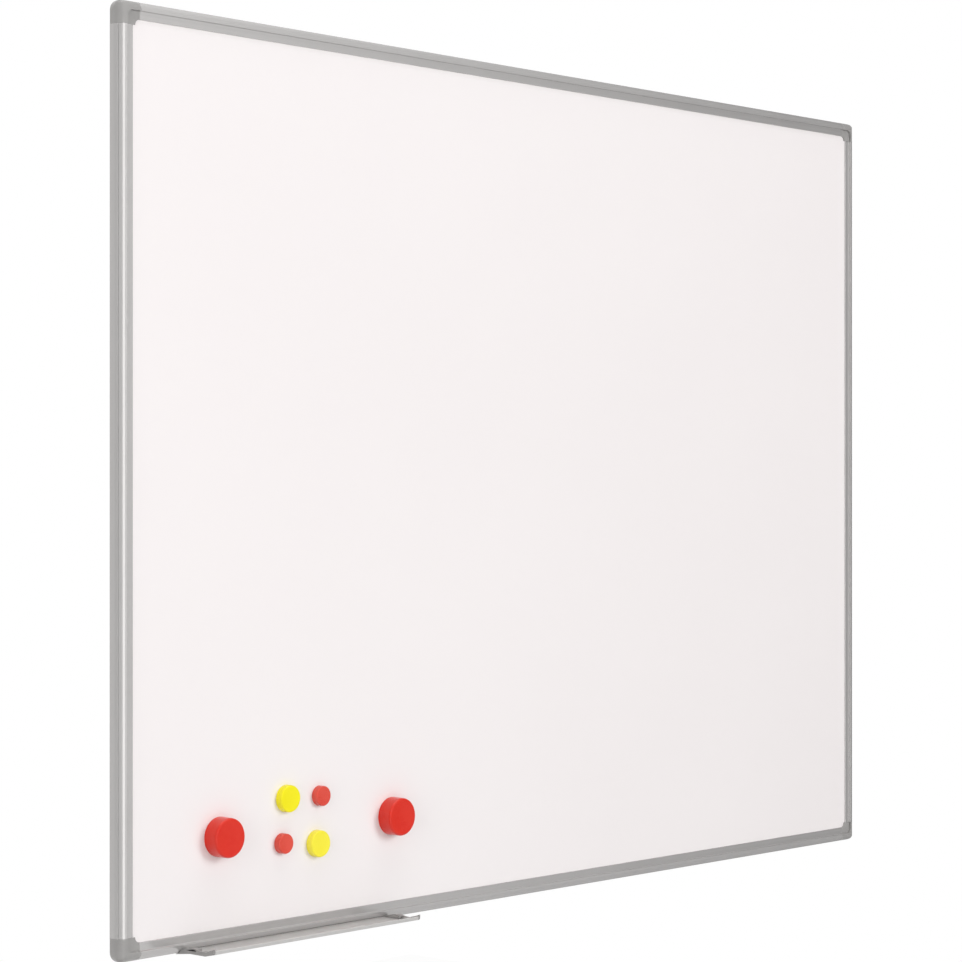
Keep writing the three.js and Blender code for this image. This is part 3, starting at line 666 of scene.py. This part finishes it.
shoulder = SCREW_SINK + HEAD_EDGE
screw_end = SCREW_SINK + SCREW_LENGTH
lathe = [
    (0.0, SCREW_SINK), (HEAD_RADIUS - HEAD_BEVEL[0], SCREW_SINK),
    (HEAD_RADIUS, SCREW_SINK + HEAD_BEVEL[1]), (HEAD_RADIUS, shoulder),
    (SHANK_RADIUS, shoulder + HEAD_RADIUS - SHANK_RADIUS), (SHANK_RADIUS, screw_end),
    (0.0, screw_end + SCREW_POINT),
]
pattern_screw = turned("pattern_screw", lathe, SCREW_SIDES, unit=MILLIMETRE)
for x, z in ((RECESS_LENGTH, RECESS_WIDTH), (RECESS_WIDTH, RECESS_LENGTH)):
    form = bmesh.new()
    bmesh.ops.create_cube(form, size=1.0)
    for vertex in form.verts:
        deep = vertex.co.y < 0
        share = RECESS_FOOT if deep else 1.0
        out = -(SCREW_SINK + RECESS_DEPTH) if deep else 1.0
        vertex.co = Vector((vertex.co.x * x * share, out, vertex.co.z * z * share)) * MILLIMETRE
    bmesh.ops.recalc_face_normals(form, faces=form.faces)
    cut(pattern_screw, object_from(form, "recess"))

driven_screws, start = new_tree(
    "driven_screws", [("Screw", "Object"), ("Turn Seed", "Int"), ("Finish", "Material")]
)
pattern = start.node(
    "GeometryNodeObjectInfo", sockets={"Object": start.beside("Screw")}, result="Geometry"
)
points = start.node("GeometryNodeMeshToPoints", sockets={"Mesh": start})
turn = start.node(
    "FunctionNodeRandomValue", {"data_type": "FLOAT_VECTOR"},
    {"Min": (0.0, 0.0, 0.0), "Max": (0.0, math.pi, 0.0), "Seed": start.beside("Turn Seed")},
)
driven = start.node(
    "GeometryNodeInstanceOnPoints",
    sockets={"Points": points, "Instance": pattern, "Rotation": turn},
)
close_tree(driven, start.beside("Finish"))

places = bpy.data.meshes.new("screw_places")
places.from_pydata([(c.x, 0.0, c.z) for c in screw_centres.values()], [], [])
screws = new_object("corner_screws", places)
screw_zinc = zinc_plated("screw_zinc", SCREW_COOL, SCREW_WARM, SCREW_GRAIN)
grow(screws, driven_screws, {"Screw": pattern_screw, "Turn Seed": TURN_SEED, "Finish": screw_zinc})
bpy.data.objects.remove(pattern_screw)
smooth(screws)
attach(screws, "board")
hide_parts(*screw_nodes)


# Hanging brackets
# Two strips of zinc-plated steel, bent once forward and screwed to the wall through a slot. Their
# tongue stands up in the pocket of the top rail, and the board hangs on it.

TONGUE_TOP, TONGUE_REAR, TONGUE_FRONT = 9.6, 2.05, 4.55
JOG_TOP, JOG_END, JOG_SHIFT = 14.3, 16.4, 1.02
STRIP, LEG_END = 2.5, 46.4
INSIDE_BEND, OUTSIDE_BEND = 1.0, 3.2
SLOT_REACH, SLOT_RADIUS, SLOT_PLACE = 5.0, 3.0, 34.4
LEG_TOP, LEG_CHAMFER, LEG_ROUND = 5.0, 3.6, 1.0
TOOL_LENGTH, TOOL_BEHIND, TOOL_PAST = 12.0, 3.0, 0.01
BURR, BURR_STEPS = 0.00018, 2
BRACKET_COOL, BRACKET_WARM, BRACKET_GRAIN = (0.46, 0.48, 0.51), (0.55, 0.54, 0.51), 900.0

strip = soften([
    (TONGUE_TOP, TONGUE_REAR, 0.5), (JOG_TOP, TONGUE_REAR, INSIDE_BEND),
    (JOG_END, 0.0, OUTSIDE_BEND), (LEG_END, 0.0, 0.4), (LEG_END, STRIP, 0.4),
    (JOG_END + JOG_SHIFT, STRIP, INSIDE_BEND),
    (JOG_TOP + JOG_SHIFT, TONGUE_FRONT, OUTSIDE_BEND), (TONGUE_TOP, TONGUE_FRONT, 0.5),
])
bracket_zinc = zinc_plated("bracket_zinc", BRACKET_COOL, BRACKET_WARM, BRACKET_GRAIN)
for side in ("left", "right"):
    node = "hanging_bracket_" + side
    low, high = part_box(node)
    width = (high.x - low.x) / MILLIMETRE
    section = section_of("bent_bracket_" + side, [strip])
    bracket = grow(section, extruded_bar, {"Length": width, "Finish": bracket_zinc})
    to_wall = (
        Matrix.Translation(((low.x + high.x) / 2, 0.0, cad_high.z))
        @ Matrix.Rotation(math.pi, 4, "Y")
        @ Matrix.Scale(MILLIMETRE, 4)
    )
    bracket.data.transform(to_wall @ Matrix.Translation((-width / 2, 0, 0)) @ lying)
    slot = [
        *arc((SLOT_REACH, SLOT_PLACE), SLOT_RADIUS, -90, 90, 12),
        *arc((-SLOT_REACH, SLOT_PLACE), SLOT_RADIUS, 90, 270, 12),
    ]
    side_end, tip, foot = LEG_END - LEG_CHAMFER, width / 2 - LEG_CHAMFER, LEG_END + TOOL_PAST
    leg = [
        (-width / 2, LEG_TOP, 0), (width / 2, LEG_TOP, 0), (width / 2, side_end, LEG_ROUND),
        (tip, foot, LEG_ROUND), (-tip, foot, LEG_ROUND), (-width / 2, side_end, LEG_ROUND),
    ]
    for name, outline, operation in (("punch", slot, "DIFFERENCE"), ("shear", leg, "INTERSECT")):
        tool = grow(section_of(name, [soften(outline)]), extruded_bar, {"Length": TOOL_LENGTH})
        tool.data.transform(to_wall @ Matrix.Translation((0, TOOL_BEHIND, 0)) @ standing)
        cut(bracket, tool, operation)
    smooth(round_edges(bracket, BURR, BURR_STEPS, least_turn=60.0))
    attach(bracket, "wall_brackets")
    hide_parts(node)


# Back sheet and core
# Zinc-coated steel closes the panel behind; its coat shows the frost of large flat crystals. The
# core between the two sheets is pressed wood fibre, hidden in the channel of the frame.

CRYSTALS_PER_METRE, CRYSTAL_WARP, FROST_DEPTH = 85.0, 0.008, 0.000012
FROST_DARK, FROST_LIGHT = (0.36, 0.38, 0.40), (0.50, 0.52, 0.53)
FIBRE_STRETCH, FIBRE_DEPTH = (900.0, 260.0, 900.0), 0.00006
FIBRE_DARK, FIBRE_LIGHT = (0.23, 0.15, 0.08), (0.44, 0.31, 0.18)

galvanised, shader, place = new_finish("galvanised_sheet", {"Metallic": 1.0})
wander = {0: noise(place, scale=70.0).beside("Color"), "Scale": CRYSTAL_WARP}
wander = place.node("ShaderNodeVectorMath", {"operation": "SCALE"}, wander)
warped = place.node("ShaderNodeVectorMath", {"operation": "ADD"}, {0: place, 1: wander})
cells = {"Vector": warped, "Scale": CRYSTALS_PER_METRE}
spangle = place.node("ShaderNodeTexVoronoi", {"feature": "F1"}, cells, "Color")
frost = place.node("ShaderNodeSeparateColor", sockets={0: spangle}, result=0)
feather = noise(place, scale=900.0, detail=3.0)
frosted = (0.75 * frost + 0.25 * feather).tinted(FROST_DARK, FROST_LIGHT)
frosted.into(shader.inputs["Base Color"])
(0.34 + 0.16 * frost + 0.08 * feather).into(shader.inputs["Roughness"])
relief(0.6 * frost + 0.4 * feather, FROST_DEPTH, 0.5).into(shader.inputs["Normal"])
dress("back_sheet", galvanised)

fibre, shader, place = new_finish("pressed_fibre", {"Metallic": 0.0, "Specular IOR Level": 0.2})
strands = noise(place, scale=1.0, detail=4.0, stretch=FIBRE_STRETCH, roughness=0.7)
clumps = noise(place, scale=120.0, detail=3.0)
pressed = (0.6 * strands + 0.4 * clumps).eased(0.3, 0.7)
pressed.tinted(FIBRE_DARK, FIBRE_LIGHT).into(shader.inputs["Base Color"])
(0.82 + 0.12 * strands).into(shader.inputs["Roughness"])
relief(strands, FIBRE_DEPTH).into(shader.inputs["Normal"])
dress("core_panel", fibre)


# Pen tray
# One length of aluminium profile, anodised like the frame but paler, partly its own lighter tone
# and partly painted light that brightens its shaded floor and crease. It has a floor, a ramp and a
# steep thin lip, with a barb behind that snaps into the groove under the lower rail. It slides
# along the rail.

TRAY_REACH, TRAY_WALL, TRAY_RISE, TRAY_LIP_HEIGHT = 45.0, 1.5, 1.75, 8.0
RAMP_RUN, RAMP_DEGREES, LIP_DEGREES = 12.0, 12.0, 78.0
FOOT_REACH, FOOT_DROP, FOOT_RUN = 8.6, 0.75, 20.0
TRAY_FIT, BARB_TOP, BARB_FRONT, BARB_REAR = 0.3, 2.2, 4.55, 4.82
TRAY_GLOSS, TRAY_METAL = 0.28, 0.35
# Paler than the frame: partly the tray's own tone, partly painted light on its shaded trough.
TRAY_DARK_PAINTED_LIGHT, TRAY_LIGHT_PAINTED_LIGHT = (0.590, 0.578, 0.566), (0.635, 0.623, 0.610)

ramp = math.tan(math.radians(RAMP_DEGREES))
lean = math.radians(LIP_DEGREES)
clear = CROWN + TRAY_FIT


def lip_side(side):
    """Where the ramp meets a face of the lip, and where that face meets its half round edge."""
    half = TRAY_WALL / 2
    x = half - TRAY_REACH + side * half * math.sin(lean)
    y = TRAY_LIP_HEIGHT - half + side * half * math.cos(lean)
    level = TRAY_RISE + half + side * half
    rise = (RAMP_RUN - TRAY_REACH - x - (y - level) / math.tan(lean)) * ramp
    knee_y = level + rise / (1 - ramp / math.tan(lean))
    return (x + (y - knee_y) / math.tan(lean), knee_y), level


under_knee, under_level = lip_side(-1)
upper_knee, upper_level = lip_side(1)
edge_centre = (TRAY_WALL / 2 - TRAY_REACH, TRAY_LIP_HEIGHT - TRAY_WALL / 2)


def below_crown(behind):
    """The turn, round the crown's centre, of a place so far behind the front of the frame."""
    return 180 + math.degrees(math.acos((CROWN - behind) / clear))


floor_angle = 180 + math.degrees(math.asin((CROWN - upper_level) / clear))
crown_centre = (CROWN, CROWN)
tray_section = soften([
    (FOOT_REACH, -FOOT_DROP, 0.3), (FOOT_REACH - FOOT_RUN, under_level, 0),
    (RAMP_RUN - TRAY_REACH, under_level, 3.0), (*under_knee, 1.6),
    *arc(edge_centre, TRAY_WALL / 2, -90 - LIP_DEGREES, -270 - LIP_DEGREES, 10),
    (*upper_knee, 1.2), (RAMP_RUN - TRAY_REACH, upper_level, 3.0),
    *arc(crown_centre, clear, floor_angle, below_crown(BARB_FRONT), 10),
    (BARB_FRONT, BARB_TOP, 0.1), (BARB_REAR, BARB_TOP, 0.1),
    *arc(crown_centre, clear, below_crown(BARB_REAR), below_crown(FOOT_REACH), 4),
])
low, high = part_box("pen_tray")
satin_tray_painted_light = anodised("satin_aluminium_tray_painted_light", "yz", TRAY_GLOSS, TRAY_METAL, TRAY_DARK_PAINTED_LIGHT, TRAY_LIGHT_PAINTED_LIGHT)
tray = grow(
    section_of("pen_tray_profile", [tray_section]), extruded_bar,
    {"Length": (high.x - low.x) / MILLIMETRE, "Finish": satin_tray_painted_light},
)
tray.data.transform(
    Matrix(((0, 0, 1, low.x), (1, 0, 0, -DEPTH * MILLIMETRE), (0, 1, 0, -cad_high.z), (0, 0, 0, 1)))
    @ Matrix.Diagonal((MILLIMETRE, MILLIMETRE, MILLIMETRE, 1.0))
)
smooth(tray)
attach(tray, "tray")
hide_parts("pen_tray")


# Tray ends
# Two grey mouldings with a wavy upper edge, pushed into the ends of the tray. Each grips the tray
# with a boss beside the rail and a lug behind the lip.

END_EDGE, END_EDGE_STEPS = 0.00025, 3
END_DARK, END_LIGHT = (0.300, 0.290, 0.285), (0.335, 0.325, 0.318)
END_ROUGHNESS, END_GRAIN = 0.48, 0.00002
LOOSE_WITHIN, FLAT_WITHIN = 1e-6, math.radians(0.5)


def copy_of(node, name, finish):
    """A copy of a CAD node with its loose triangles joined and its edges softened."""
    form = bmesh.new()
    form.from_mesh(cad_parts[node].data)
    bmesh.ops.remove_doubles(form, verts=form.verts, dist=LOOSE_WITHIN)
    bmesh.ops.dissolve_limit(form, angle_limit=FLAT_WITHIN, verts=form.verts, edges=form.edges)
    piece = object_from(form, name)
    piece.data.materials.append(finish)
    return smooth(round_edges(piece, END_EDGE, END_EDGE_STEPS, harden=True))


end_grey = moulded("tray_end_grey", END_DARK, END_LIGHT, END_ROUGHNESS, END_GRAIN)
for side in ("left", "right"):
    tray_end = copy_of("tray_end_" + side, "tray_end_moulding_" + side, end_grey)
    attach(tray_end, "tray")
    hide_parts("tray_end_" + side)


# Magnets
# Six round magnets: a smooth coloured plastic cap with a soft front edge and a slightly dished
# face, pressed over a disc of ferrite. The small red and the lower yellow ones are paler.

CAP_DRAFT, FACE_DISH, FOOT_ROUND = 0.2, 0.35, 0.15
KINDS = {  # diameter, height, radius of the front edge, wall, height of the hollow
    "large": (39.0, 16.5, 2.2, 2.0, 6.3),
    "medium": (27.2, 7.4, 1.4, 1.4, 4.3),
    "small": (20.4, 7.0, 1.2, 1.3, 4.3),
}
TURNED_SIDES, EDGE_STEPS, FACE_STEPS = 112, 9, 6
POLISHED_GRAIN = 0.000005
PLASTICS = {  # dark and light colour, roughness
    "deep_red": ((0.690, 0.016, 0.003), (0.720, 0.022, 0.006), 0.22),
    "pale_red": ((0.705, 0.062, 0.038), (0.750, 0.076, 0.048), 0.22),
    "deep_yellow": ((0.915, 0.815, 0.001), (0.945, 0.850, 0.002), 0.24),
    "pale_yellow": ((0.950, 0.838, 0.040), (0.970, 0.865, 0.052), 0.24),
}
MAGNETS = {
    "magnet_large_left": "deep_red", "magnet_large_right": "deep_red",
    "magnet_small_upper": "pale_red", "magnet_small_lower": "pale_red",
    "magnet_medium_upper": "deep_yellow", "magnet_medium_lower": "pale_yellow",
}
FERRITE_DARK, FERRITE_LIGHT, FERRITE_GRAIN = (0.030, 0.030, 0.032), (0.075, 0.074, 0.076), 0.00003

plastics = {
    name: moulded(name, dark, light, roughness, POLISHED_GRAIN)
    for name, (dark, light, roughness) in PLASTICS.items()
}
ferrite, shader, place = new_finish("ferrite", {"Metallic": 0.0})
sintered = noise(place, scale=1400.0, detail=4.0, roughness=0.7)
scuffs = noise(place, scale=90.0, detail=3.0)
worn = (0.6 * sintered + 0.4 * scuffs).eased(0.3, 0.75)
worn.tinted(FERRITE_DARK, FERRITE_LIGHT).into(shader.inputs["Base Color"])
(0.55 + 0.25 * sintered).into(shader.inputs["Roughness"])
relief(sintered, FERRITE_GRAIN, 0.7).into(shader.inputs["Normal"])

for body, plastic in MAGNETS.items():
    diameter, height, edge, wall, hollow = KINDS[body.split("_")[1]]
    low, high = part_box(body + "_cap")
    outside, inside = diameter / 2, diameter / 2 - wall
    flat = outside - CAP_DRAFT - edge
    cup = [(0.0, hollow), (inside, hollow), (inside, 0.0)]
    cup += [(outside - FOOT_ROUND, 0.0), (outside, FOOT_ROUND)]
    cup += [(x, y) for x, y, _ in arc((flat, height - edge), edge, 0, 90, EDGE_STEPS)]
    for step in range(1, FACE_STEPS + 1):
        share = 1 - step / FACE_STEPS
        cup.append((flat * share, height - FACE_DISH * (1 - share**2)))
    centre = ((low.x + high.x) / 2, high.y, (low.z + high.z) / 2)
    cap = turned(body + "_moulding", cup, TURNED_SIDES, centre, MILLIMETRE)
    cap.data.materials.append(plastics[plastic])
    smooth(cap)
    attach(cap, body)
    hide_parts(body + "_cap")
    dress(body + "_disc", ferrite)


# Sizes of the scene as built, taken like those of the imported model at the start

low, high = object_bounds()
